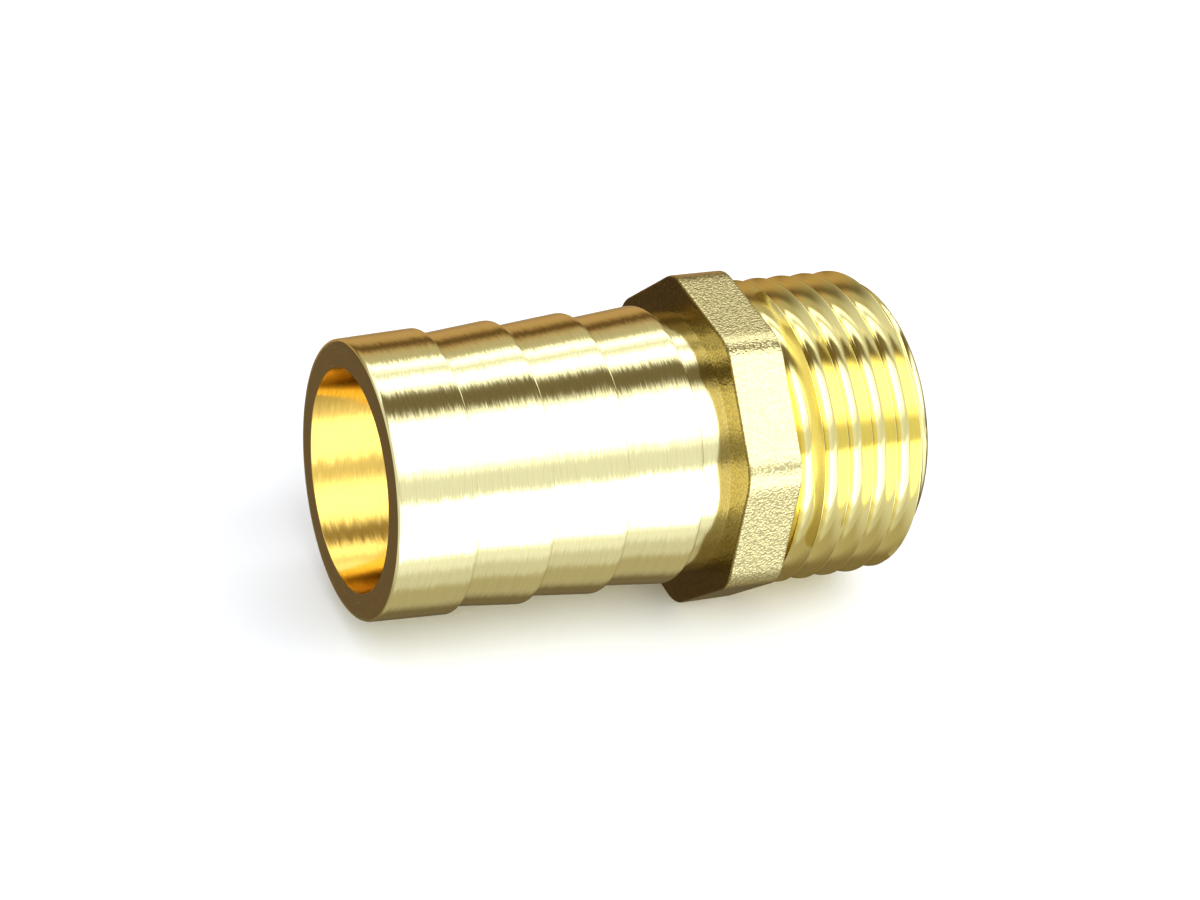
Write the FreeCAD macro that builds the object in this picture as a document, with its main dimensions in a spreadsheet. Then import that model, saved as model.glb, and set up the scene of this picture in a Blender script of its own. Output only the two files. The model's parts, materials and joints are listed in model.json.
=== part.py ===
import FreeCAD, Part
import math
import os
import Sketcher

# Hose tail, forged in one piece of brass, then turned, bored and threaded
#
# The bore's axis is X. The origin is on that axis, in the plane of the collar's shoulder, where
# the thread begins. The thread points along +X and the hose spigot along -X. One flat of the
# eight-sided collar faces straight down, and the fitting lies on it.

DOCUMENT_NAME = "hose_tail_fitting"
NODE_NAME = "hose_tail"
FULL_TURN = 360.0
NEAR = 1e-4

# Driving sizes in millimetres, degrees or counts

SIZES = [
    ("bore_diameter", 14.8, "through bore, the same from end to end"),
    ("crest_diameter", 18.9, "barbs at their crests"),
    ("first_barb_rise", 0.2, "front edge of the spigot to the first crest, outwards"),
    ("tip_chamfer", 0.15, "broken front edge of the spigot"),
    ("barb_depth", 0.5, "crest to the foot of each barb, and to the neck"),
    ("first_barb_length", 5.38, "front face to the first crest"),
    ("barb_pitch", 5.24, "crest to crest"),
    ("barb_count", 4, "barbs along the spigot, the front one included"),
    ("neck_length", 2.2, "last crest to the collar's face"),
    ("front_land", 0.25, "narrow cylindrical land on the front crest"),
    ("collar_width", 4.1, "collar along the axis"),
    ("collar_lip", 0.2725, "each flat of the collar, out past the thread"),
    ("collar_sides", 8, "flats round the collar"),
    ("collar_corner", 2.8, "rounding of the forged corners between the flats"),
    ("collar_edge", 0.15, "broken edge round each face of the collar"),
    ("relief_width", 1.3, "undercut between the shoulder and the thread"),
    ("relief_below_root", 0.2735, "bottom of the undercut, in past the thread's root"),
    ("thread_end", 10.6, "shoulder to the end of the thread"),
    ("thread_diameter", 20.955, "major diameter of the half-inch pipe thread"),
    ("thread_pitch", 1.814, "fourteen turns to the inch"),
    ("flank_angle", 27.5, "thread's flank to a plane across the axis"),
    ("thread_depth", 0.954, "crest to root"),
    ("root_width", 0.7, "flat bottom of the thread's groove"),
    ("thread_phase", 0.8, "shoulder to the groove's middle, on top of the part"),
    ("cut_overshoot", 0.3, "how far the profiles of the cuts stand out past the surface"),
    ("lead_in_length", 1.15, "chamfer at the thread's end, along the axis"),
    ("lead_in_below_root", 0.426, "the same chamfer's end, in past the thread's root"),
]

# Radii that follow from those sizes, as formulas in the sheet's names

CREST_RADIUS = "sizes.crest_diameter / 2"
TIP_RADIUS = f"{CREST_RADIUS} - sizes.first_barb_rise"
FOOT_RADIUS = f"{CREST_RADIUS} - sizes.barb_depth"
THREAD_RADIUS = "sizes.thread_diameter / 2"
ROOT_RADIUS = f"{THREAD_RADIUS} - sizes.thread_depth"
RELIEF_RADIUS = f"{ROOT_RADIUS} - sizes.relief_below_root"
END_RADIUS = f"{ROOT_RADIUS} - sizes.lead_in_below_root"
COLLAR_RADIUS = f"({THREAD_RADIUS} + sizes.collar_lip) / cos(180 deg / round(sizes.collar_sides))"

doc = FreeCAD.newDocument(DOCUMENT_NAME)
sheet = doc.addObject("Spreadsheet::Sheet", "sizes")
for row, (alias, value, note) in enumerate(SIZES, start=1):
    sheet.set(f"A{row}", alias)
    sheet.set(f"B{row}", str(value))
    sheet.set(f"C{row}", note)
    sheet.setAlias(f"B{row}", alias)
doc.recompute()

body = doc.addObject("PartDesign::Body", "fitting")
body.Label = NODE_NAME
doc.recompute()


def size(alias):
    """The number in the sheet's cell of that name."""
    return float(sheet.get(alias))


def origin_feature(role):
    """A plane or an axis of the body's own origin, such as XZ_Plane or X_Axis."""
    return next(item for item in body.Origin.OriginFeatures if item.Role == role)


# Sketches: a constraint takes a line's number, and its start, its end or a circle's centre

START, END, CENTRE = 1, 2, 3
AXIS_ALONG, AXIS_UP = -1, -2
SKETCH_ORIGIN = (AXIS_ALONG, START)


class Outline:
    """A sketch of one closed run of straight lines, on one of the body's origin planes.

    Its corners have names, and each line goes by the name of the corner that it starts from.
    """

    def __init__(self, name, plane, corners):
        self.sketch = empty_sketch(name, plane)
        self.number = {corner: number for number, corner in enumerate(corners)}
        points = [FreeCAD.Vector(along, up, 0.0) for along, up in corners.values()]
        for start, end in zip(points, points[1:] + points[:1]):
            self.sketch.addGeometry(Part.LineSegment(start, end), False)
        for line in range(len(points)):
            following = (line + 1) % len(points)
            self.constrain("Coincident", line, END, following, START)

    def constrain(self, kind, *values):
        """Adds a constraint and returns its number."""
        return self.sketch.addConstraint(Sketcher.Constraint(kind, *values))

    def level(self, *lines):
        """Keeps these lines parallel to the sketch's first axis."""
        for line in lines:
            self.constrain("Horizontal", self.number[line])

    def upright(self, *lines):
        """Keeps these lines square to the sketch's first axis."""
        for line in lines:
            self.constrain("Vertical", self.number[line])

    def on_axis(self, corner, axis):
        """Keeps a corner on one of the sketch's two axes."""
        self.constrain("PointOnObject", self.number[corner], START, axis)

    def point(self, corner):
        """A corner as a constraint takes it; no name means the sketch's origin."""
        return (self.number[corner], START) if corner else SKETCH_ORIGIN

    def distance(self, kind, first, second, formula):
        """Ties the distance between two points, along one axis, to a formula of the sheet."""
        start = self.point(first)
        end = self.point(second)
        gap = self.sketch.getPoint(*end) - self.sketch.getPoint(*start)
        drawn = gap.x if kind == "DistanceX" else gap.y
        index = self.constrain(kind, *start, *end, drawn)
        self.sketch.setExpression(f"Constraints[{index}]", formula)

    def height(self, corner, formula):
        """A corner's distance from the first axis: its radius, on a turned profile."""
        self.distance("DistanceY", None, corner, formula)

    def run(self, first, second, formula):
        """The distance from one corner to another along the first axis."""
        self.distance("DistanceX", first, second, formula)


def empty_sketch(name, plane):
    """An empty sketch that lies on one of the body's origin planes."""
    sketch = body.newObject("Sketcher::SketchObject", name)
    sketch.AttachmentSupport = [(origin_feature(plane), "")]
    sketch.MapMode = "FlatFace"
    return sketch


def add_circle(sketch, radius, kind, expression, construction):
    """A circle about the sketch's origin, its Radius or Diameter tied to a formula."""
    centre = FreeCAD.Vector(0.0, 0.0, 0.0)
    up = FreeCAD.Vector(0.0, 0.0, 1.0)
    circle = sketch.addGeometry(Part.Circle(centre, up, radius), construction)
    sketch.addConstraint(Sketcher.Constraint("Coincident", circle, CENTRE, *SKETCH_ORIGIN))
    across = radius if kind == "Radius" else 2 * radius
    index = sketch.addConstraint(Sketcher.Constraint(kind, circle, across))
    sketch.setExpression(f"Constraints[{index}]", expression)
    return circle


def edges(feature, wanted):
    """The names of the edges of a feature's shape for which wanted(edge) is true."""
    found = enumerate(feature.Shape.Edges, start=1)
    return [f"Edge{number}" for number, edge in found if wanted(edge)]


def in_plane(edge, along):
    """Whether an edge lies in the plane across the axis at this place along it."""
    box = edge.BoundBox
    return abs(box.XMin - along) < NEAR and abs(box.XMax - along) < NEAR


def is_ring(edge, along, radius):
    """Whether an edge is the circle of this radius about the axis at this place along it."""
    if not in_plane(edge, along) or not isinstance(edge.Curve, Part.Circle):
        return False
    return abs(edge.Curve.Radius - radius) < NEAR


# Places along the axis and radii, for drawing; the constraints take them from the sheet

collar_face = -size("collar_width")
last_crest = collar_face - size("neck_length")
barbs = round(size("barb_count"))
first_crest = last_crest - (barbs - 1) * size("barb_pitch")
front = first_crest - size("first_barb_length")
relief_end = size("relief_width")
thread_end = size("thread_end")

bore_radius = size("bore_diameter") / 2
crest_radius = size("crest_diameter") / 2
tip_radius = crest_radius - size("first_barb_rise")
foot_radius = crest_radius - size("barb_depth")
thread_radius = size("thread_diameter") / 2
root_radius = thread_radius - size("thread_depth")
relief_radius = root_radius - size("relief_below_root")
end_radius = root_radius - size("lead_in_below_root")

# Turned blank: half of its outline, revolved about the bore's axis

blank_outline = Outline(
    "blank_outline",
    "XZ_Plane",
    {
        "front_on_axis": (front, 0.0),
        "tip": (front, tip_radius),
        "front_land": (first_crest - size("front_land"), crest_radius),
        "last_crest": (last_crest, crest_radius),
        "neck": (last_crest, foot_radius),
        "shoulder": (0.0, foot_radius),
        "relief": (0.0, relief_radius),
        "relief_end": (relief_end, relief_radius),
        "thread": (relief_end, thread_radius),
        "lead_in": (thread_end - size("lead_in_length"), thread_radius),
        "end_edge": (thread_end, end_radius),
        "end_on_axis": (thread_end, 0.0),
    },
)
blank_outline.level("front_land", "neck", "relief", "thread")
blank_outline.upright("front_on_axis", "last_crest", "shoulder", "relief_end", "end_edge")
blank_outline.on_axis("front_on_axis", AXIS_ALONG)
blank_outline.on_axis("end_on_axis", AXIS_ALONG)
blank_outline.on_axis("shoulder", AXIS_UP)
blank_outline.height("tip", TIP_RADIUS)
blank_outline.height("front_land", CREST_RADIUS)
blank_outline.height("neck", FOOT_RADIUS)
blank_outline.height("relief", RELIEF_RADIUS)
blank_outline.height("thread", THREAD_RADIUS)
blank_outline.height("end_edge", END_RADIUS)
blank_outline.run("tip", "front_land", "sizes.first_barb_length - sizes.front_land")
blank_outline.run(
    "front_land", "last_crest",
    "sizes.front_land + (round(sizes.barb_count) - 1) * sizes.barb_pitch",
)
blank_outline.run("neck", "shoulder", "sizes.neck_length + sizes.collar_width")
blank_outline.run("relief", "relief_end", "sizes.relief_width")
blank_outline.run("relief", "end_edge", "sizes.thread_end")
blank_outline.run("lead_in", "end_edge", "sizes.lead_in_length")

blank = body.newObject("PartDesign::Revolution", "turned_blank")
blank.Profile = blank_outline.sketch
blank.ReferenceAxis = (origin_feature("X_Axis"), [""])
blank.Angle = FULL_TURN
doc.recompute()

# Barbs: one sloping groove, with its upright step facing the collar, repeated along the spigot

over_crest = crest_radius + size("cut_overshoot")
ramp_end = first_crest + size("barb_pitch")
barb_outline = Outline(
    "barb_outline",
    "XZ_Plane",
    {
        "foot": (first_crest, foot_radius),
        "over_step": (first_crest, over_crest),
        "over_ramp": (ramp_end, over_crest),
        "ramp_end": (ramp_end, crest_radius),
    },
)
barb_outline.upright("foot", "over_ramp")
barb_outline.level("over_step")
barb_outline.height("foot", FOOT_RADIUS)
barb_outline.height("over_step", f"{CREST_RADIUS} + sizes.cut_overshoot")
barb_outline.height("ramp_end", CREST_RADIUS)
barb_outline.run("foot", "over_ramp", "sizes.barb_pitch")
barb_outline.run(
    "foot", None,
    "sizes.collar_width + sizes.neck_length + (round(sizes.barb_count) - 1) * sizes.barb_pitch",
)

barb_groove = body.newObject("PartDesign::Groove", "barb_groove")
barb_groove.Profile = barb_outline.sketch
barb_groove.ReferenceAxis = (origin_feature("X_Axis"), [""])
barb_groove.Angle = FULL_TURN
doc.recompute()

barb_row = body.newObject("PartDesign::LinearPattern", "barb_row")
barb_row.Originals = [barb_groove]
barb_row.Direction = (origin_feature("X_Axis"), [""])
barb_row.Mode = "Spacing"
barb_row.setExpression("Offset", "sizes.barb_pitch")
barb_row.setExpression("Occurrences", "round(sizes.barb_count) - 1")
body.Tip = barb_row
doc.recompute()

# Collar: a forged octagon with rounded corners, one flat facing down

sides = round(size("collar_sides"))
collar_radius = (thread_radius + size("collar_lip")) / math.cos(math.pi / sides)
corner_angles = [math.pi * (2 * corner - 1) / sides - math.pi / 2 for corner in range(sides)]
collar_outline = Outline(
    "collar_outline",
    "YZ_Plane",
    {
        corner: (collar_radius * math.cos(angle), collar_radius * math.sin(angle))
        for corner, angle in enumerate(corner_angles)
    },
)
round_corners = add_circle(collar_outline.sketch, collar_radius, "Radius", COLLAR_RADIUS, True)
collar_outline.level(0)
for side in range(sides):
    collar_outline.on_axis(side, round_corners)
for side in range(1, sides):
    collar_outline.constrain("Equal", 0, side)

collar = body.newObject("PartDesign::Pad", "collar")
collar.Profile = collar_outline.sketch
collar.Reversed = True
collar.setExpression("Length", "sizes.collar_width")
doc.recompute()


def is_collar_corner(edge):
    """Whether an edge runs along the axis at one of the octagon's corners."""
    middle = edge.CenterOfMass
    outward = math.hypot(middle.y, middle.z)
    return abs(outward - collar_radius) < NEAR and edge.BoundBox.XLength > NEAR


rounded_corners = body.newObject("PartDesign::Fillet", "collar_corners")
rounded_corners.Base = (collar, edges(collar, is_collar_corner))
rounded_corners.setExpression("Radius", "sizes.collar_corner")
doc.recompute()


def is_collar_outline(edge):
    """Whether an edge is part of the octagon's outline, on either face of the collar."""
    outward = math.hypot(edge.CenterOfMass.y, edge.CenterOfMass.z)
    on_face = in_plane(edge, 0.0) or in_plane(edge, collar_face)
    return on_face and outward > thread_radius


broken_edges = body.newObject("PartDesign::Chamfer", "collar_edges")
broken_edges.Base = (rounded_corners, edges(rounded_corners, is_collar_outline))
broken_edges.setExpression("Size", "sizes.collar_edge")
doc.recompute()

# Thread: a truncated vee cut along a right-hand helix, from beyond the end up to the shoulder

TURNS = "(ceil((sizes.thread_end - sizes.thread_phase) / sizes.thread_pitch) + 1)"
FLANK_RUN = "(sizes.thread_depth + sizes.cut_overshoot) * tan(sizes.flank_angle * 1 deg)"

turns = math.ceil((thread_end - size("thread_phase")) / size("thread_pitch")) + 1
groove_middle = size("thread_phase") + turns * size("thread_pitch")
half_root = size("root_width") / 2
over_thread = thread_radius + size("cut_overshoot")
flank_slope = math.tan(math.radians(size("flank_angle")))
half_top = half_root + (over_thread - root_radius) * flank_slope
thread_outline = Outline(
    "thread_outline",
    "XZ_Plane",
    {
        "near_root": (groove_middle - half_root, root_radius),
        "far_root": (groove_middle + half_root, root_radius),
        "far_top": (groove_middle + half_top, over_thread),
        "near_top": (groove_middle - half_top, over_thread),
    },
)
thread_outline.level("near_root", "far_top")
thread_outline.height("near_root", ROOT_RADIUS)
thread_outline.height("near_top", f"{THREAD_RADIUS} + sizes.cut_overshoot")
thread_outline.run("near_root", "far_root", "sizes.root_width")
thread_outline.run("near_top", "near_root", FLANK_RUN)
thread_outline.run("far_root", "far_top", FLANK_RUN)
thread_outline.run(
    None, "near_root",
    f"sizes.thread_phase + {TURNS} * sizes.thread_pitch - sizes.root_width / 2",
)

thread = body.newObject("PartDesign::SubtractiveHelix", "thread_groove")
thread.Profile = thread_outline.sketch
thread.ReferenceAxis = (origin_feature("X_Axis"), [""])
thread.Mode = "pitch-height-angle"
thread.LeftHanded = False
thread.Reversed = True
thread.setExpression("Pitch", "sizes.thread_pitch")
thread.setExpression(
    "Height",
    f"{TURNS} * sizes.thread_pitch + sizes.thread_phase - sizes.root_width / 2 - {FLANK_RUN}",
)
doc.recompute()

# Bore: one hole from end to end, and the spigot's front edge broken

bore_sketch = empty_sketch("bore_outline", "YZ_Plane")
add_circle(bore_sketch, bore_radius, "Diameter", "sizes.bore_diameter", False)

bore = body.newObject("PartDesign::Pocket", "through_bore")
bore.Profile = bore_sketch
bore.Type = "ThroughAll"
bore.Midplane = True
doc.recompute()

tip = body.newObject("PartDesign::Chamfer", "tip_edge")
tip.Base = (bore, edges(bore, lambda edge: is_ring(edge, front, tip_radius)))
tip.setExpression("Size", "sizes.tip_chamfer")
body.Tip = tip
doc.recompute()

# Checks: nothing failed, and each cut took material away

for item in doc.Objects:
    if "Invalid" in item.State or "Error" in item.State:
        raise RuntimeError(f"{item.Name} failed: {item.State}")
CUTS = [
    (blank, barb_groove),
    (barb_groove, barb_row),
    (collar, rounded_corners),
    (rounded_corners, broken_edges),
    (broken_edges, thread),
    (thread, bore),
    (bore, tip),
]
for before, after in CUTS:
    if not after.Shape.Volume < before.Shape.Volume:
        raise RuntimeError(f"{after.Name} removed nothing")
shape = body.Shape
if shape.isNull() or not shape.isValid() or len(shape.Solids) != 1:
    raise RuntimeError("the fitting isn't one valid solid")

os.makedirs("parts", exist_ok=True)
shape.exportStep(f"parts/{body.Label}.step")
print(f"{body.Label}: {shape.Volume:.1f} mm3, {len(shape.Faces)} faces")
for before, after in CUTS:
    print(f"{after.Name}: took {before.Shape.Volume - after.Shape.Volume:.2f} mm3")
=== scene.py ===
import json
import math
from typing import NamedTuple

import bpy
import numpy as np
from bpy.props import FloatProperty, FloatVectorProperty, IntProperty, PointerProperty
from mathutils import Matrix, Vector


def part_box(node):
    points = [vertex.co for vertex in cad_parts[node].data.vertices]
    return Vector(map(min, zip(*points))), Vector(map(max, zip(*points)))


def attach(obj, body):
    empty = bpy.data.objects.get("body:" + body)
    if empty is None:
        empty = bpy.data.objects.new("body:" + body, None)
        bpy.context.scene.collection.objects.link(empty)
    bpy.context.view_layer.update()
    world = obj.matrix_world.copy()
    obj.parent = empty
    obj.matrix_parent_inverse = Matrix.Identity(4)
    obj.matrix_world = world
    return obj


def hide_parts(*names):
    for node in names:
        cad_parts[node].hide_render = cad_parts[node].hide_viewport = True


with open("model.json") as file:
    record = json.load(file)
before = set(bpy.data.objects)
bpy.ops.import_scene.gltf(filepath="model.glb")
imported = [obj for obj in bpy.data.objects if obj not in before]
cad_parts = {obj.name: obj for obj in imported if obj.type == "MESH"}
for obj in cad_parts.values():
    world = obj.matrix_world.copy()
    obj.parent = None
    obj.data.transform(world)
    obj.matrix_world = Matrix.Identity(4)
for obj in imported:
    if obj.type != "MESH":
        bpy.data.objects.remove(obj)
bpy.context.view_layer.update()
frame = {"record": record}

bl_info = {
    "name": "Brass hose tail",
    "version": (1, 0, 0),
    "blender": (4, 5, 0),
    "location": "3D View > Sidebar > Hose tail",
    "description": "Builds a turned and forged brass hose tail, with its studio",
    "category": "Object",
}

# Frame: the bore's axis is X, the thread points along +X and the spigot along -X, and the origin
# lies on that axis in the plane of the collar's shoulder. One flat of the collar faces down.

NODE = "hose_tail"
BODY = "root"
MM = 0.001

LOWEST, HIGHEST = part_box(NODE)
ROUND_MOUNTS = {
    mount["name"]: mount["dims"]["r_mm"] * MM
    for mount in frame["record"]["mounts"]
    if "r_mm" in mount["dims"]
}
FRONT = LOWEST.x
THREAD_END = HIGHEST.x
FLAT_DISTANCE = HIGHEST.z
BORE_RADIUS = ROUND_MOUNTS["through_bore"]
CREST_RADIUS = ROUND_MOUNTS["hose_barbs"]
THREAD_RADIUS = ROUND_MOUNTS["male_thread"]


def length(name, description, millimetres):
    """A property that holds a length."""
    return FloatProperty(
        name=name, description=description, default=millimetres * MM, unit="LENGTH",
        subtype="DISTANCE", precision=5,
    )


def angle(name, description, degrees):
    """A property that holds an angle."""
    return FloatProperty(
        name=name, description=description, default=math.radians(degrees), unit="ROTATION",
        subtype="ANGLE",
    )


def colour(name, description, default):
    """A property that holds a linear colour."""
    return FloatVectorProperty(
        name=name, description=description, default=default, subtype="COLOR", size=3,
        min=0.0, max=1.0,
    )


def share(name, description, default):
    """A property that holds a number from 0 to 1."""
    return FloatProperty(
        name=name, description=description, default=default, subtype="FACTOR", min=0.0, max=1.0,
    )


class SpigotSizes(bpy.types.PropertyGroup):
    """The barbed spigot and the neck behind it."""

    front_rise: length("Front rise", "Front edge to the first crest, outwards", 0.2)
    barb_depth: length("Barb depth", "Crest to the foot of each barb", 0.5)
    barb_pitch: length("Barb pitch", "Crest to crest", 5.24)
    barb_count: IntProperty(name="Barbs", description="Barbs along the spigot", default=4, min=2)
    crest_land: length("Crest land", "Narrow land on each crest", 0.25)
    neck_length: length("Neck length", "Last crest to the collar", 2.2)
    front_rounding: length("Front rounding", "Rounding of the front edge", 0.3)
    edge_rounding: length("Edge rounding", "Rounding of the turned edges", 0.09)


class CollarSizes(bpy.types.PropertyGroup):
    """The forged octagonal collar."""

    width: length("Width", "Collar along the axis", 4.1)
    sides: IntProperty(name="Sides", description="Flats round the collar", default=8, min=3)
    corner_rounding: length("Corner rounding", "Rounding between two flats", 2.8)
    lean: length("Lean", "Each face's rim set back from its middle", 0.08)
    edge_rounding: length("Edge rounding", "Rounding round each face of the collar", 0.2)


class ThreadSizes(bpy.types.PropertyGroup):
    """The half-inch pipe thread and the undercut before it."""

    relief_width: length("Relief width", "Undercut between the shoulder and the thread", 0.45)
    relief_radius: length("Relief radius", "Bottom of the undercut", 9.58)
    pitch: length("Pitch", "Fourteen turns to the inch", 1.814)
    depth: length("Depth", "Crest to root", 0.9)
    root_width: length("Root width", "Flat bottom of the groove", 0.76)
    root_rounding: length("Root rounding", "Rounding along the root, at each side", 0.34)
    flank_hollow: length("Flank hollow", "Rounding up each flank from the root", 0.9)
    crest_rounding: length("Crest rounding", "Rounding at each side of the crest", 0.012)
    flank: angle("Flank angle", "Flank to a plane across the axis", 29.5)
    phase: length("Phase", "Shoulder to a root's middle on top of the part", 0.8)
    lead_in_length: length("Lead-in length", "Chamfer at the end, along the axis", 1.15)
    lead_in_depth: length("Lead-in depth", "Chamfer at the end, towards the axis", 1.38)


class BoreSizes(bpy.types.PropertyGroup):
    """The bore's two mouths."""

    mouth_chamfer: length("Mouth chamfer", "Broken edge at each mouth of the bore", 0.03)


class BrassLooks(bpy.types.PropertyGroup):
    """Colours and finishes of the brass."""

    turned: colour("Turned brass", "Polished surfaces off the lathe", (0.93, 0.84, 0.42))
    threaded: colour("Threaded brass", "Cut thread", (0.94, 0.82, 0.34))
    forged: colour("Forged brass", "Grained skin of the collar", (0.77, 0.67, 0.32))
    # Painted shade: the darker colour of the collar's face beside the neck stands in for the dark
    # surroundings that this face mirrors
    skin: colour("Forging skin", "Darker face of the collar, beside the neck", (0.37, 0.28, 0.08))
    bored: colour("Bored brass", "Wall of the bore", (0.97, 0.65, 0.14))
    turned_roughness: share("Turned roughness", "Gloss off the lathe", 0.09)
    threaded_roughness: share("Threaded roughness", "Gloss of the thread", 0.075)
    forged_roughness: share("Forged roughness", "Gloss of the forged skin", 0.19)
    bored_roughness: share("Bored roughness", "Gloss of the bore", 0.16)
    grain: length("Grain", "Size of the forged skin's grain", 0.17)
    streak: length("Streak", "Spacing of the lathe's streaks", 0.12)


class StudioLooks(bpy.types.PropertyGroup):
    """The floor, the light and the camera."""

    floor_size: length("Floor size", "Side of the square floor", 4000.0)
    floor: colour("Floor", "Colour of the floor", (0.9, 0.9, 0.9))
    aim: length("Aim", "Where the camera looks, along the axis", -9.476)
    distance: length("Distance", "Camera to the point that it looks at", 201.64)
    azimuth: angle("Azimuth", "Camera round the vertical, from -Y", -28.835)
    elevation: angle("Elevation", "Camera above the horizon", 34.423)
    roll: angle("Roll", "Camera round its own axis", 10.282)
    lens: FloatProperty(
        name="Lens", description="Focal length in millimetres", default=89.934, unit="CAMERA",
    )


class HoseTailSettings(bpy.types.PropertyGroup):
    """Everything that a user can change."""

    spigot: PointerProperty(type=SpigotSizes)
    collar: PointerProperty(type=CollarSizes)
    thread: PointerProperty(type=ThreadSizes)
    bore: PointerProperty(type=BoreSizes)
    looks: PointerProperty(type=BrassLooks)
    studio: PointerProperty(type=StudioLooks)


# Surfaces

# Steps over a flat of the collar, over the corner between two flats, and round an edge
FLAT_STEPS = 26
CORNER_STEPS = 9
ROUNDING_STEPS = 6

# The upright rim of each face of the collar, in roundings of its edge
RIM_ROUNDINGS = 4

# Where the thread's points stand beside its roundings, as a share of each rounding
THREAD_SUPPORT = 0.1

# An angle this far past the end of a flat still counts as on it
ANGLE_SLACK = 1e-9


def unit(vectors):
    """Each vector of the array divided by its length."""
    return vectors / np.linalg.norm(vectors, axis=-1, keepdims=True)


def round_corners(corners, cuts, cuts_after=None, support=0.5):
    """A run of straight lines with each inner corner rounded.

    A corner B becomes the parabola (1-t)^2 A + 2t(1-t) B + t^2 C. A lies on the line before it at
    the distance given by cuts, and C on the line after it, at the same distance or at the one
    given by cuts_after. One more point stands on each line, further out by the share support of
    that distance, and keeps the shading of the straight stretch straight.
    """
    before, here, after = corners[:-2], corners[1:-1], corners[2:]
    cut = np.broadcast_to(cuts, len(here))[:, None]
    cut_after = cut if cuts_after is None else np.broadcast_to(cuts_after, len(here))[:, None]
    into = unit(here - before)
    onward = unit(after - here)
    first = here - into * cut
    last = here + onward * cut_after
    t = np.linspace(0.0, 1.0, ROUNDING_STEPS)[:, None, None]
    curve = (1 - t) ** 2 * first + 2 * t * (1 - t) * here + t**2 * last
    lead = (first - into * cut * support)[None]
    tail = (last + onward * cut_after * support)[None]
    rounded = np.concatenate([lead, curve, tail]).transpose(1, 0, 2).reshape(-1, 2)
    return np.concatenate([corners[:1], rounded, corners[-1:]])


def collar_angles(collar):
    """Angles round the axis for every column of every surface, from +Y towards +Z.

    Each side of the collar has its flat in equal steps and half a rounded corner at each end, so
    that columns fall where flats and corners meet.
    """
    half_side = math.pi / collar.sides
    half_flat = flat_half_angle(collar)
    flat = np.linspace(-half_flat, half_flat, FLAT_STEPS + 1)
    corner = np.linspace(half_flat, 2 * half_side - half_flat, CORNER_STEPS + 1)[1:-1]
    side = np.concatenate([flat, corner])
    middles = 2 * half_side * np.arange(collar.sides) - math.pi / 2
    return (middles[:, None] + side).ravel()


def flat_half_angle(collar):
    """Angle at the axis from the middle of a flat to its end, where the corner's arc begins."""
    reach = (FLAT_DISTANCE - collar.corner_rounding) * math.tan(math.pi / collar.sides)
    return math.atan2(reach, FLAT_DISTANCE)


def circle(x, radius, angles):
    """Points (x, radius cos a, radius sin a), one for each angle a."""
    return np.stack(np.broadcast_arrays(x, radius * np.cos(angles), radius * np.sin(angles)), -1)


def turned(profile, angles):
    """A profile of (x, radius) points turned about the axis: one row for each point."""
    x, radius = np.transpose(profile)[:, :, None]
    return circle(x, radius, angles)


def spigot_surface(spigot, collar, bore, angles):
    """The ring round the bore's mouth, the barbs and the neck, turned from one profile.

    Each barb is a ramp that rises to a narrow land, and a step down to the next ramp's foot.
    """
    foot = CREST_RADIUS - spigot.barb_depth
    last_crest = -collar.width - spigot.neck_length
    crests = last_crest - spigot.barb_pitch * np.arange(spigot.barb_count)[::-1]
    level = np.full_like(crests, CREST_RADIUS)
    lands = np.stack([crests - spigot.crest_land, level], -1)
    edges = np.stack([crests, level], -1)
    feet = np.stack([crests, np.full_like(crests, foot)], -1)
    barbs = np.stack([lands, edges, feet], 1).reshape(-1, 2)
    start = [[FRONT, BORE_RADIUS + bore.mouth_chamfer], [FRONT, CREST_RADIUS - spigot.front_rise]]
    corners = np.concatenate([start, barbs, [[-collar.width, foot]]])
    cuts = np.full(len(corners) - 2, spigot.edge_rounding)
    cuts[0] = spigot.front_rounding
    return turned(round_corners(corners, cuts), angles)


def collar_outline(collar, inset, angles):
    """The octagon with rounded corners, drawn in by inset, as (y, z) points.

    With a the angle from the middle of the nearest flat, the outline lies at distance
    FLAT_DISTANCE / cos a on the flat. On the corner's arc, about a centre at distance c, it lies
    at c cos b + sqrt(r^2 - c^2 sin^2 b), with b the angle from the corner.
    """
    step = 2 * math.pi / collar.sides
    nearest = np.round((angles + math.pi / 2) / step) * step - math.pi / 2
    off_middle = angles - nearest
    off_corner = step / 2 - np.abs(off_middle)
    centre = (FLAT_DISTANCE - collar.corner_rounding) / math.cos(step / 2)
    side_step = centre * np.sin(off_corner)
    arc = centre * np.cos(off_corner) + np.sqrt(
        np.maximum(collar.corner_rounding**2 - side_step**2, 0.0)
    )
    on_flat = np.abs(off_middle) <= flat_half_angle(collar) + ANGLE_SLACK
    distance = np.where(on_flat, FLAT_DISTANCE / np.cos(off_middle), arc)
    outline = np.stack([distance * np.cos(angles), distance * np.sin(angles)], -1)
    corner_angle = nearest + np.sign(off_middle) * step / 2
    corner_centre = centre * np.stack([np.cos(corner_angle), np.sin(corner_angle)], -1)
    flat_way = np.stack([np.cos(nearest), np.sin(nearest)], -1)
    outward = np.where(on_flat[:, None], flat_way, unit(outline - corner_centre))
    return outline - inset * outward


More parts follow.
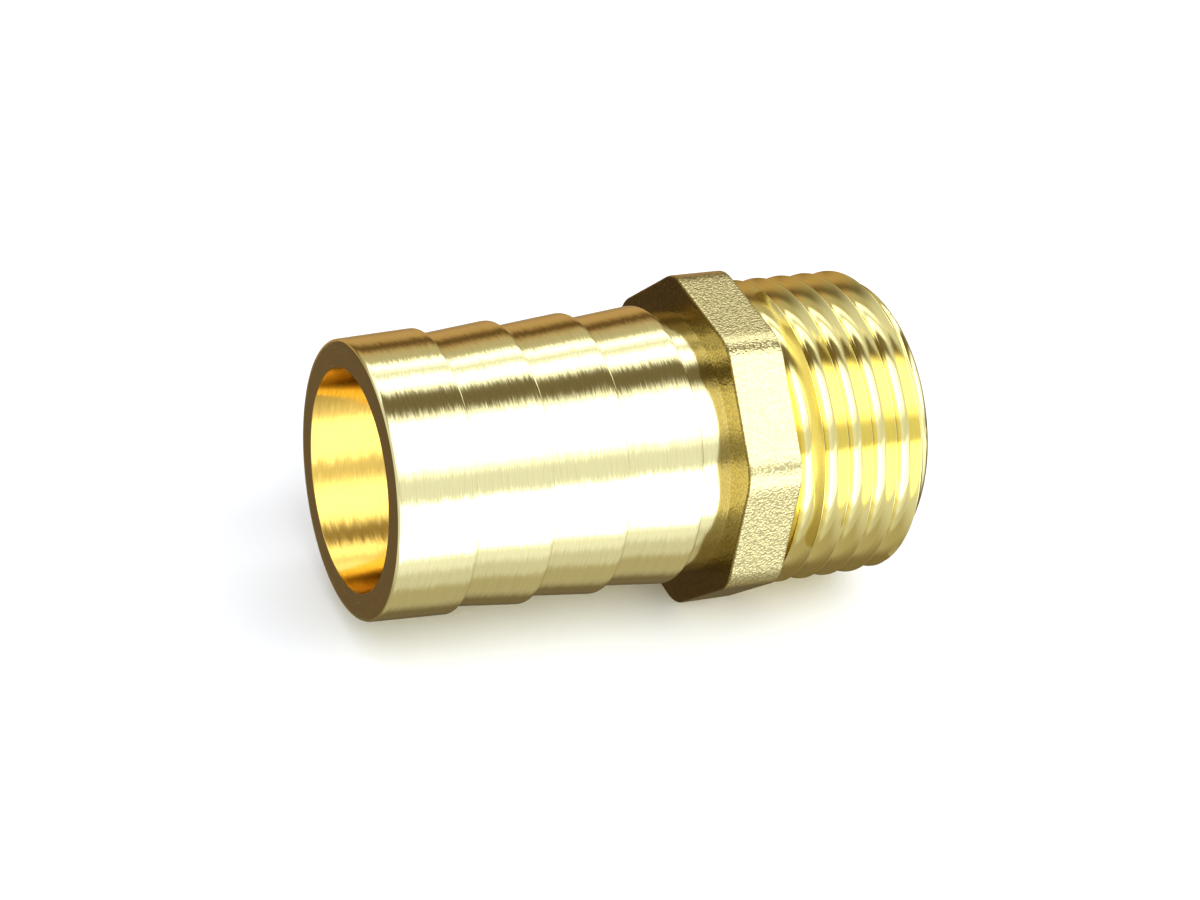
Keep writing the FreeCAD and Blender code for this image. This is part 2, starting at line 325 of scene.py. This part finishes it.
def collar_surface(collar, neck_radius, relief_radius, angles):
    """Both faces and the flats: the outline carried along a profile of (x, inset) points.

    Each face leans back by collar.lean from its middle to its rim, which is upright.
    """
    inset = RIM_ROUNDINGS * collar.edge_rounding
    front_rim = collar.lean - collar.width
    back_rim = -collar.lean
    corners = np.array([[front_rim, inset], [front_rim, 0.0], [back_rim, 0.0], [back_rim, inset]])
    profile = round_corners(corners, collar.edge_rounding)
    outlines = [collar_outline(collar, row_inset, angles) for row_inset in profile[:, 1]]
    along = np.broadcast_to(profile[:, :1, None], (len(profile), len(angles), 1))
    skirt = np.concatenate([along, np.stack(outlines)], -1)
    front = turned([[-collar.width, neck_radius]], angles)
    back = turned([[0.0, relief_radius]], angles)
    return np.concatenate([front, skirt, back])


def thread_profile(thread):
    """One pitch of the thread, from the middle of a root, as (along, radius) points.

    The flanks rise from the ends of the flat root to the narrow crest. A parabola cuts each
    corner, and at the root it reaches far up the flank, so the groove is hollow like a gutter.
    """
    root = THREAD_RADIUS - thread.depth
    root_end = thread.root_width / 2
    crest_start = root_end + thread.depth * math.tan(thread.flank)
    crest_end = thread.pitch - crest_start
    along = [0.0, root_end, crest_start, crest_end, thread.pitch - root_end, thread.pitch]
    radius = [root, root, THREAD_RADIUS, THREAD_RADIUS, root, root]
    crest = thread.crest_rounding
    cuts = np.array([thread.root_rounding, crest, crest, thread.flank_hollow])
    corners = np.stack([along, radius], -1)
    return round_corners(corners, cuts, cuts[::-1], THREAD_SUPPORT)


def thread_surface(thread, bore, angles):
    """The undercut, the thread, its lead-in chamfer and the ring at its end, as one grid.

    A point of the profile at s and a column at angle a lie at x = s + pitch a / turn. Columns are
    cut off at the undercut and at the end: all rows past a cut share the point there. The radius
    is the profile's, or the lead-in cone's where that is less.
    """
    pitch = thread.pitch
    begin = thread.relief_width
    profile = thread_profile(thread)
    turn = (angles - math.pi / 2) / (2 * math.pi)
    first_turn = math.floor((begin - thread.phase) / pitch - turn.max())
    last_turn = math.ceil((THREAD_END - thread.phase) / pitch - turn.min())
    turns = np.arange(first_turn, last_turn)
    along = (thread.phase + turns[:, None] * pitch + profile[:-1, 0]).ravel()
    x = np.clip(along[:, None] + pitch * turn, begin, THREAD_END)
    phase = np.mod(x - thread.phase - pitch * turn, pitch)
    radius = np.interp(phase, profile[:, 0], profile[:, 1])
    slope = thread.lead_in_depth / thread.lead_in_length
    cone = THREAD_RADIUS - slope * (x - THREAD_END + thread.lead_in_length)
    threads = circle(x, np.minimum(radius, cone), angles)
    undercut = turned([[0.0, thread.relief_radius], [begin, thread.relief_radius]], angles)
    mouth = turned([[THREAD_END, BORE_RADIUS + bore.mouth_chamfer]], angles)
    return np.concatenate([undercut, threads, mouth])


def bore_surface(bore, angles):
    """The bore's wall and the chamfers at its mouths, from the thread's end to the front."""
    mouth = BORE_RADIUS + bore.mouth_chamfer
    profile = [
        [THREAD_END, mouth],
        [THREAD_END - bore.mouth_chamfer, BORE_RADIUS],
        [FRONT + bore.mouth_chamfer, BORE_RADIUS],
        [FRONT, mouth],
    ]
    return turned(profile, angles)


# Meshes

# Points closer together than this become one, and an edge sharper than this stays sharp
MERGE_DISTANCE = 0.0005 * MM
SHARP_EDGE = math.radians(38.0)


def grid_quads(rows, columns, seam_shift):
    """Corner numbers of the faces of a grid that closes on itself after its last column.

    Faces point outwards where rows run along +X and columns from +Y towards +Z. With a seam
    shift, the last column meets the first one that many rows further on, as a helix does.
    """
    row, column = np.meshgrid(np.arange(rows - 1), np.arange(columns), indexing="ij")
    following = (column + 1) % columns
    shift = np.where(following == 0, seam_shift, 0)
    near = np.minimum(row + shift, rows - 1)
    far = np.minimum(row + 1 + shift, rows - 1)
    quads = [row * columns + column, near * columns + following,
             far * columns + following, (row + 1) * columns + column]
    return np.stack(quads, -1).reshape(-1, 4)


def add_piece(name, points, material, seam_shift=0):
    """A smooth mesh object from a grid of points, of two triangles for each of its faces.

    Points that coincide become one, and a triangle that loses a side that way is dropped.
    """
    places = points.reshape(-1, 3)
    cells = np.round(places / MERGE_DISTANCE).astype(np.int64)
    _, first, same = np.unique(cells, axis=0, return_index=True, return_inverse=True)
    corners = same.reshape(-1)[grid_quads(*points.shape[:2], seam_shift)]
    triangles = np.concatenate([corners[:, [0, 1, 2]], corners[:, [0, 2, 3]]])
    whole = (np.diff(np.sort(triangles, axis=1), axis=1) > 0).all(axis=1)
    mesh = bpy.data.meshes.new(name)
    mesh.from_pydata(places[first].tolist(), [], triangles[whole].tolist())
    mesh.validate()
    mesh.set_sharp_from_angle(angle=SHARP_EDGE)
    mesh.materials.append(material)
    piece = bpy.data.objects.new(name, mesh)
    bpy.context.scene.collection.objects.link(piece)
    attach(piece, BODY)
    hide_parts(NODE)


# Shader maths

# The Mix node's sockets for colours, by number, because their names are those of others too
MIX_FACTOR = 0
MIX_LOW = 6
MIX_HIGH = 7
MIX_RESULT = 2


class Term:
    """A socket of a node tree. Arithmetic on it adds Math nodes to the tree."""

    def __init__(self, wires, socket):
        self.wires = wires
        self.socket = socket

    def math(self, operation, *others):
        """This socket and the others through one Math node."""
        return self.wires.math(operation, self, *others)

    def __neg__(self):
        return self.math("MULTIPLY", -1.0)

    def __add__(self, other):
        return self.math("ADD", other)

    def __radd__(self, other):
        return self.wires.math("ADD", other, self)

    def __sub__(self, other):
        return self.math("SUBTRACT", other)

    def __rsub__(self, other):
        return self.wires.math("SUBTRACT", other, self)

    def __mul__(self, other):
        return self.math("MULTIPLY", other)

    def __rmul__(self, other):
        return self.wires.math("MULTIPLY", other, self)

    def __truediv__(self, other):
        return self.math("DIVIDE", other)

    def __rtruediv__(self, other):
        return self.wires.math("DIVIDE", other, self)


class Wires:
    """The node tree of a material or of the world."""

    def __init__(self, owner):
        owner.use_nodes = True
        self.tree = owner.node_tree
        self.tree.nodes.clear()

    def node(self, kind, settings, sockets):
        """A node of this kind, with its settings made first and then its sockets.

        A socket takes a Term or a plain value. The setting stops fills a colour ramp with
        (position, colour) pairs.
        """
        made = self.tree.nodes.new(kind)
        for name, value in settings.items():
            if name == "stops":
                self.fill_ramp(made.color_ramp, value)
            else:
                setattr(made, name, value)
        for name, value in sockets.items():
            if isinstance(value, Term):
                self.tree.links.new(value.socket, made.inputs[name])
            else:
                made.inputs[name].default_value = value
        return made

    def term(self, kind, settings, sockets, output=0):
        """One output of a new node."""
        return Term(self, self.node(kind, settings, sockets).outputs[output])

    def math(self, operation, *values):
        """One Math node."""
        return self.term("ShaderNodeMath", {"operation": operation}, dict(enumerate(values)))

    def vector(self, operation, *values):
        """One Vector Math node."""
        return self.term("ShaderNodeVectorMath", {"operation": operation}, dict(enumerate(values)))

    def scaled(self, vector, factor):
        """A vector times a number."""
        sockets = {"Vector": vector, "Scale": factor}
        return self.term("ShaderNodeVectorMath", {"operation": "SCALE"}, sockets)

    def blend(self, factor, low, high):
        """A colour that goes from low to high as factor goes from 0 to 1."""
        sockets = {MIX_FACTOR: factor, MIX_LOW: low, MIX_HIGH: high}
        return self.term("ShaderNodeMix", {"data_type": "RGBA"}, sockets, MIX_RESULT)

    def eased(self, value, start, end):
        """0 before start and 1 after end, with a smooth change between."""
        sockets = {"Value": value, "From Min": start, "From Max": end}
        return self.term("ShaderNodeMapRange", {"interpolation_type": "SMOOTHSTEP"}, sockets)

    def combined(self, x, y, z):
        """A vector from three numbers."""
        return self.term("ShaderNodeCombineXYZ", {}, {"X": x, "Y": y, "Z": z})

    def noise(self, place, scale, detail=2.0, roughness=0.5):
        """Smooth noise from 0 to 1 at a place."""
        sockets = {"Vector": place, "Scale": scale, "Detail": detail, "Roughness": roughness}
        return self.term("ShaderNodeTexNoise", {"noise_dimensions": "3D"}, sockets)

    @staticmethod
    def fill_ramp(ramp, stops):
        """Puts (position, colour) stops into a colour ramp."""
        ramp.interpolation = "EASE"
        while len(ramp.elements) > 1:
            ramp.elements.remove(ramp.elements[0])
        for number, (position, tone) in enumerate(stops):
            element = ramp.elements[0] if number == 0 else ramp.elements.new(position)
            element.position = position
            element.color = tone

    def parts(self, vector):
        """The three numbers of a vector."""
        split = self.node("ShaderNodeSeparateXYZ", {}, {"Vector": vector})
        return [Term(self, socket) for socket in split.outputs]

    def place(self):
        """The point of the surface, in the part's frame."""
        return self.term("ShaderNodeTexCoord", {}, {}, "Object")

    def part_axes(self):
        """Place along the axis, distance from it, and the two parts of the way out from it."""
        x, y, z = self.parts(self.place())
        radius = (y * y + z * z).math("SQRT")
        return x, radius, y / radius, z / radius


def new_wires(name):
    """A new material and its empty node tree."""
    material = bpy.data.materials.new(name)
    return material, Wires(material)


def close_metal(wires, base, roughness, normal):
    """The metal shader and the output of a material."""
    shader = wires.term(
        "ShaderNodeBsdfPrincipled", {},
        {"Base Color": base, "Metallic": 1.0, "Roughness": roughness, "Normal": normal},
    )
    wires.node("ShaderNodeOutputMaterial", {}, {"Surface": shader})


def opaque(tone, factor=1.0):
    """A linear colour times a factor, with full opacity."""
    return (*(part * factor for part in tone), 1.0)


# Turned brass


class LatheMarks(NamedTuple):
    """What the tool leaves on a turned surface: streaks round the axis, with hairlines in them.

    coarseness is the spacing of the streaks, as a share of the usual one. breaks says how often a
    streak changes on its way round, and tilt how far it turns the surface. depth is that of the
    hairlines. rake is how far the rings on one side lean, where a boring bar left them.
    """

    coarseness: float
    breaks: float
    tilt: float
    depth: float
    rake: float


SPIGOT_MARKS = LatheMarks(coarseness=1.0, breaks=7.0, tilt=0.12, depth=0.0006 * MM, rake=0.0)
THREAD_MARKS = LatheMarks(coarseness=1.0, breaks=4.0, tilt=0.02, depth=0.0004 * MM, rake=0.0)
BORE_MARKS = LatheMarks(coarseness=1.5, breaks=5.0, tilt=0.16, depth=0.0012 * MM, rake=0.45)

# Hairlines to a streak, how often they change against it, the heights between which the brass
# gets lighter, and how dark it is below them
HAIRLINES_TO_STREAK = 3
HAIRLINE_BREAKS = 0.4
HAIRLINE_FADE = (0.25, 0.6)
HAIRLINE_SHADE = 0.9

# The most roughness that the streaks add, as a share of the surface's own
STREAK_ROUGHNESS = 0.6

# The bore's raked side as (y, z), the cosines of the angle from it between which it fades, and
# how dark the painted shade on the rest of the bore's wall is
RAKED_SIDE = (0.787, -0.617)
RAKE_FADE = (0.46, 0.72)
BORE_PAINTED_SHADE = 0.42


def lathe_streaks(wires, spacing, breaks):
    """Noise that is fine along the axis and outwards from it, and long round it."""
    x, radius, out_y, out_z = wires.part_axes()
    across = (x + radius) / spacing
    where = wires.combined(across, out_y * breaks, out_z * breaks)
    return wires.noise(where, scale=1.0, detail=3.0, roughness=0.6)


def raked_share(wires):
    """1 on the side where the boring bar left its rings, fading to 0 round the axis."""
    *_, out_y, out_z = wires.part_axes()
    side_y, side_z = RAKED_SIDE
    return wires.eased(out_y * side_y + out_z * side_z, *RAKE_FADE)


def tilted_normal(wires, tilt, rake):
    """The surface's normal turned round the axis by a small angle, and raked towards -X."""
    *_, out_y, out_z = wires.part_axes()
    shift = wires.combined(raked_share(wires) * -rake, -tilt * out_z, tilt * out_y)
    normal = wires.term("ShaderNodeNewGeometry", {}, {}, "Normal")
    return wires.vector("NORMALIZE", wires.vector("ADD", normal, shift))


def turned_material(name, tone, gloss, streak, marks):
    """Brass off the lathe: fine streaks round the axis that break up what it mirrors.

    Where its rings are raked on one side, the rest is darkened as painted shade inside the bore.
    """
    material, wires = new_wires(name)
    spacing = streak * marks.coarseness
    streaks = lathe_streaks(wires, spacing, marks.breaks)
    finer = spacing / HAIRLINES_TO_STREAK
    hairlines = lathe_streaks(wires, finer, marks.breaks * HAIRLINE_BREAKS)
    normal = tilted_normal(wires, (streaks - 0.5) * marks.tilt, marks.rake)
    bumped = wires.term(
        "ShaderNodeBump", {},
        {"Strength": 1.0, "Distance": marks.depth, "Height": hairlines, "Normal": normal},
    )
    between = wires.eased(hairlines, *HAIRLINE_FADE)
    base = wires.blend(between, opaque(tone, HAIRLINE_SHADE), opaque(tone))
    if marks.rake:
        # Painted shade: away from the raked side, the bore's wall is darkened as if shaded deep
        # inside
        base = wires.blend(raked_share(wires), wires.scaled(base, BORE_PAINTED_SHADE), base)
    close_metal(wires, base, gloss + streaks * gloss * STREAK_ROUGHNESS, bumped)
    return material


# Forged brass

# Its skin has lumps, pebbles and fine grains: how many lumps and grains lie across a pebble, how
# much each of the three counts in the height, and how deep the whole is
LUMPS_TO_PEBBLE = 0.7
GRAINS_TO_PEBBLE = 3.0
LUMP_HEIGHT = 0.9
PEBBLE_HEIGHT = 0.8
GRAIN_HEIGHT = 0.25
FORGED_DEPTH = 0.024 * MM

# How softly the pebbles meet, where the hollows between them begin and how dark they are, and
# the most roughness that the fine grains add
PEBBLE_BLEND = 0.4
HOLLOW_FADE = (0.25, 0.7)
HOLLOW_SHADE = 0.7
GRAIN_ROUGHNESS = 0.06

# How far inside each face of the collar the face's own finish, and beside the neck its painted
# shade, start and are complete, and how much less grain and roughness the face beside the neck has
FACE_FADE = (0.25 * MM, 0.1 * MM)
SKIN_SMOOTHING = 0.4
SKIN_GLOSS = 0.2


def forged_material(name, tone, skin, gloss, grain, width):
    """Forged brass: a fine pebbled grain, a little darker in its hollows.

    The collar lies from x = -width to 0. Its face beside the neck has a fainter grain and a darker
    colour, painted shade that stands in for the dark surroundings it mirrors. Its face beside the
    thread is turned smooth.
    """
    material, wires = new_wires(name)
    place = wires.place()
    x, *_ = wires.part_axes()
    fade_start, fade_end = FACE_FADE
    beside_neck = wires.eased(-x, width - fade_start, width - fade_end)
    beside_thread = wires.eased(x, -fade_start, -fade_end)
    lumps = wires.noise(place, LUMPS_TO_PEBBLE / grain)
    pebbles = wires.term(
        "ShaderNodeTexVoronoi", {"feature": "SMOOTH_F1"},
        {"Vector": place, "Scale": 1.0 / grain, "Smoothness": PEBBLE_BLEND, "Randomness": 1.0},
    )
    grains = wires.noise(place, GRAINS_TO_PEBBLE / grain)
    height = lumps * LUMP_HEIGHT - pebbles * PEBBLE_HEIGHT + grains * GRAIN_HEIGHT
    height = height * (1.0 - SKIN_SMOOTHING * beside_neck) * (1.0 - beside_thread)
    bumped = wires.term(
        "ShaderNodeBump", {}, {"Strength": 1.0, "Distance": FORGED_DEPTH, "Height": height},
    )
    hollows = wires.eased(pebbles, *HOLLOW_FADE) * (1.0 - beside_thread)
    # Painted shade: beside the neck the face takes the darker colour given as skin, for the dark
    # surroundings that it mirrors
    plain = wires.blend(beside_neck, opaque(tone), opaque(skin))
    base = wires.blend(hollows, plain, wires.scaled(plain, HOLLOW_SHADE))
    roughness = gloss * (1.0 - SKIN_GLOSS * beside_neck) + grains * GRAIN_ROUGHNESS
    close_metal(wires, base, roughness, bumped)
    return material


# Studio

# Bands of light that run along the part's axis: where each starts and ends, in degrees round it,
# and its brightness. 360 is the far side, +Y, 450 is overhead, 540 is the near side and 630 is
# below. Between two bands the light changes smoothly.
STUDIO_BANDS = {
    "low far side": (304.0, 314.0, 0.14),
    "far side": (332.0, 343.0, 0.37),
    "far horizon": (352.0, 362.0, 0.48),
    "far shadow line": (375.5, 377.0, 0.12),
    "far wall": (389.0, 399.0, 0.52),
    "second strip light": (405.0, 409.0, 2.2),
    "between the strips": (413.0, 417.0, 0.9),
    "first strip light": (422.0, 427.0, 2.6),
    "gap overhead": (438.5, 451.0, 0.17),
    "key light": (467.0, 494.0, 2.8),
    "key light's lower edge": (510.0, 524.5, 0.88),
    "near side": (529.0, 570.0, 2.8),
    "near fringe": (576.0, 583.0, 1.0),
    "near shade": (592.0, 601.0, 0.7),
    "below": (610.0, 628.0, 0.48),
    "low shadow": (645.0, 655.0, 0.18),
}

# The bands fill a colour ramp that starts and ends at the seam, and whose white is the ceiling
SEAM = 300.0
FULL_TURN = 360.0
LIGHT_CEILING = 3.0

# The light's green and blue against its red, from DARKEST down and from NEUTRAL up. Between the
# two, blue comes in later than green.
DARKEST = 0.2
NEUTRAL = 0.8
DARK_GREEN = 0.78
BRIGHT_GREEN = 1.04
DARK_BLUE = 0.45
BRIGHT_BLUE = 1.12
BLUE_POWER = 1.5

# The parts of the room that differ from the bands: a tint, a colour, and brightness
WARM_WALL = (1.12, 0.8, 0.5)
BROWN_GAP = (0.135, 0.09, 0.055)
SPIGOT_SIDE_FILL = 0.4
SPIGOT_SIDE_MIX = 0.2
SPIGOT_END_LIGHT = 0.78
THREAD_END_LIGHT = 1.25

# Where each of those fades in, as cosines of the angle from +Y for the wall, from -X for the
# spigot's side and end, and from +X for the thread's end. The gap fades in and out again by the
# angle from -X, and fades in towards the ground and towards +Y.
WALL_FADE = (0.78, 0.92)
SPIGOT_SIDE_FADE = (0.0, 0.25)
SPIGOT_END_FADE = (0.58, 0.86)
THREAD_END_FADE = (0.78, 0.97)
GAP_FADE_IN = (0.2, 0.3)
GAP_FADE_OUT = (0.56, 0.7)
GAP_GROUND_FADE = (0.0, 0.25)
GAP_BEHIND_FADE = (0.3, 0.5)


def room_colour(level):
    """Light of this brightness: a little cool where bright, and warmer the darker it is."""
    cool = min(max((level - DARKEST) / (NEUTRAL - DARKEST), 0.0), 1.0)
    green = DARK_GREEN + (BRIGHT_GREEN - DARK_GREEN) * cool
    blue = DARK_BLUE + (BRIGHT_BLUE - DARK_BLUE) * cool**BLUE_POWER
    return level, level * green, level * blue


def studio_world(world):
    """Soft lights and gaps that run along the part's axis, as bands of brightness.

    The wall far behind the part is warmer than the rest. The bands are softer on the spigot's
    side, where a brown gap lies low behind the part, and fade into an even light at each end.
    """
    wires = Wires(world)
    x, y, z = wires.parts(wires.term("ShaderNodeTexCoord", {}, {}, "Generated"))
    turn = z.math("ARCTAN2", y) / (2 * math.pi) - SEAM / FULL_TURN
    stops = [
        ((edge - SEAM) / FULL_TURN, opaque(room_colour(level), 1.0 / LIGHT_CEILING))
        for start, end, level in STUDIO_BANDS.values()
        for edge in (start, end)
    ]
    position = turn.math("FLOORED_MODULO", 1.0)
    bands = wires.term("ShaderNodeValToRGB", {"stops": stops}, {"Fac": position})
    light = wires.scaled(bands, LIGHT_CEILING)
    warmed = wires.vector("MULTIPLY", light, WARM_WALL)
    light = wires.blend(wires.eased(y, *WALL_FADE), light, warmed)
    gap = wires.eased(-x, *GAP_FADE_IN) * (1.0 - wires.eased(-x, *GAP_FADE_OUT))
    gap = gap * wires.eased(-z, *GAP_GROUND_FADE) * wires.eased(y, *GAP_BEHIND_FADE)
    patches = (
        (wires.eased(-x, *SPIGOT_SIDE_FADE) * SPIGOT_SIDE_MIX, room_colour(SPIGOT_SIDE_FILL)),
        (wires.eased(-x, *SPIGOT_END_FADE), room_colour(SPIGOT_END_LIGHT)),
        (gap, BROWN_GAP),
        (wires.eased(x, *THREAD_END_FADE), room_colour(THREAD_END_LIGHT)),
    )
    for mask, tone in patches:
        light = wires.blend(mask, light, opaque(tone))
    background = wires.term("ShaderNodeBackground", {}, {"Color": light, "Strength": 1.0})
    wires.node("ShaderNodeOutputWorld", {}, {"Surface": background})


# The add-on

# How close to the camera a surface may be and still show
NEAREST_SEEN = 10.0 * MM


class HOSETAIL_OT_spigot(bpy.types.Operator):
    """Adds the barbed spigot and its neck"""

    bl_idname = "hose_tail.spigot"
    bl_label = "Barbed spigot"

    def execute(self, context):
        chosen = context.scene.hose_tail
        looks = chosen.looks
        material = turned_material(
            "turned_brass", looks.turned, looks.turned_roughness, looks.streak, SPIGOT_MARKS
        )
        angles = collar_angles(chosen.collar)
        points = spigot_surface(chosen.spigot, chosen.collar, chosen.bore, angles)
        add_piece("barbed_spigot", points, material)
        return {"FINISHED"}


class HOSETAIL_OT_collar(bpy.types.Operator):
    """Adds the forged collar"""

    bl_idname = "hose_tail.collar"
    bl_label = "Forged collar"

    def execute(self, context):
        chosen = context.scene.hose_tail
        looks = chosen.looks
        material = forged_material(
            "forged_brass", looks.forged, looks.skin, looks.forged_roughness, looks.grain,
            chosen.collar.width,
        )
        angles = collar_angles(chosen.collar)
        neck_radius = CREST_RADIUS - chosen.spigot.barb_depth
        relief_radius = chosen.thread.relief_radius
        points = collar_surface(chosen.collar, neck_radius, relief_radius, angles)
        add_piece("forged_collar", points, material)
        return {"FINISHED"}


class HOSETAIL_OT_thread(bpy.types.Operator):
    """Adds the undercut and the thread"""

    bl_idname = "hose_tail.thread"
    bl_label = "Pipe thread"

    def execute(self, context):
        chosen = context.scene.hose_tail
        looks = chosen.looks
        material = turned_material(
            "threaded_brass", looks.threaded, looks.threaded_roughness, looks.streak, THREAD_MARKS
        )
        angles = collar_angles(chosen.collar)
        points = thread_surface(chosen.thread, chosen.bore, angles)
        rows_in_a_turn = len(thread_profile(chosen.thread)) - 1
        add_piece("pipe_thread", points, material, rows_in_a_turn)
        return {"FINISHED"}


class HOSETAIL_OT_bore(bpy.types.Operator):
    """Adds the bore's wall and mouths"""

    bl_idname = "hose_tail.bore"
    bl_label = "Through bore"

    def execute(self, context):
        chosen = context.scene.hose_tail
        looks = chosen.looks
        material = turned_material(
            "bored_brass", looks.bored, looks.bored_roughness, looks.streak, BORE_MARKS
        )
        angles = collar_angles(chosen.collar)
        points = bore_surface(chosen.bore, angles)
        add_piece("through_bore", points, material)
        return {"FINISHED"}


class HOSETAIL_OT_studio(bpy.types.Operator):
    """Adds the floor, the light and the camera"""

    bl_idname = "hose_tail.studio"
    bl_label = "Studio"

    def execute(self, context):
        studio = context.scene.hose_tail.studio
        scene = context.scene
        scene.view_settings.view_transform = "Standard"
        self.add_floor(scene, studio)
        scene.world = bpy.data.worlds.new("studio")
        studio_world(scene.world)
        self.add_camera(scene, studio)
        return {"FINISHED"}

    @staticmethod
    def add_floor(scene, studio):
        """A square floor under the collar's lowest flat."""
        half = studio.floor_size / 2
        level = LOWEST.z
        corners = [(-half, -half, level), (half, -half, level), (half, half, level),
                   (-half, half, level)]
        mesh = bpy.data.meshes.new("floor")
        mesh.from_pydata(corners, [], [(0, 1, 2, 3)])
        material, wires = new_wires("floor")
        shader = wires.term(
            "ShaderNodeBsdfDiffuse", {}, {"Color": opaque(studio.floor), "Roughness": 0.0}
        )
        wires.node("ShaderNodeOutputMaterial", {}, {"Surface": shader})
        mesh.materials.append(material)
        floor = bpy.data.objects.new("floor", mesh)
        floor.visible_glossy = False
        scene.collection.objects.link(floor)

    @staticmethod
    def add_camera(scene, studio):
        """The camera, turned by its azimuth, elevation and roll round the point it looks at."""
        turned_round = (
            Matrix.Rotation(studio.azimuth, 4, "Z")
            @ Matrix.Rotation(math.pi / 2 - studio.elevation, 4, "X")
            @ Matrix.Rotation(studio.roll, 4, "Z")
        )
        back = turned_round @ Vector((0.0, 0.0, 1.0))
        aim = Vector((studio.aim, 0.0, 0.0))
        data = bpy.data.cameras.new("camera")
        data.lens = studio.lens
        data.clip_start = NEAREST_SEEN
        camera = bpy.data.objects.new("camera", data)
        camera.matrix_world = Matrix.Translation(aim + back * studio.distance) @ turned_round
        scene.collection.objects.link(camera)
        scene.camera = camera


OPERATORS = (
    HOSETAIL_OT_spigot,
    HOSETAIL_OT_collar,
    HOSETAIL_OT_thread,
    HOSETAIL_OT_bore,
    HOSETAIL_OT_studio,
)


class HOSETAIL_PT_panel(bpy.types.Panel):
    """Lists the hose tail's pieces and sizes"""

    bl_label = "Hose tail"
    bl_idname = "HOSETAIL_PT_panel"
    bl_space_type = "VIEW_3D"
    bl_region_type = "UI"
    bl_category = "Hose tail"

    def draw(self, context):
        layout = self.layout
        for operator in OPERATORS:
            layout.operator(operator.bl_idname)
        chosen = context.scene.hose_tail
        for name in HoseTailSettings.__annotations__:
            box = layout.box()
            box.label(text=name.capitalize())
            group = getattr(chosen, name)
            for size_name in group.__annotations__:
                box.prop(group, size_name)


CLASSES = (
    SpigotSizes,
    CollarSizes,
    ThreadSizes,
    BoreSizes,
    BrassLooks,
    StudioLooks,
    HoseTailSettings,
    *OPERATORS,
    HOSETAIL_PT_panel,
)


def register():
    """Makes the classes and the settings known to Blender."""
    for cls in CLASSES:
        bpy.utils.register_class(cls)
    bpy.types.Scene.hose_tail = PointerProperty(type=HoseTailSettings)


def unregister():
    """Takes the settings and the classes away again."""
    del bpy.types.Scene.hose_tail
    for cls in reversed(CLASSES):
        bpy.utils.unregister_class(cls)


def main():
    """Builds every piece and the studio, in order."""
    register()
    bpy.ops.hose_tail.spigot()
    bpy.ops.hose_tail.collar()
    bpy.ops.hose_tail.thread()
    bpy.ops.hose_tail.bore()
    bpy.ops.hose_tail.studio()
    bpy.context.view_layer.update()


if __name__ == "__main__":
    main()
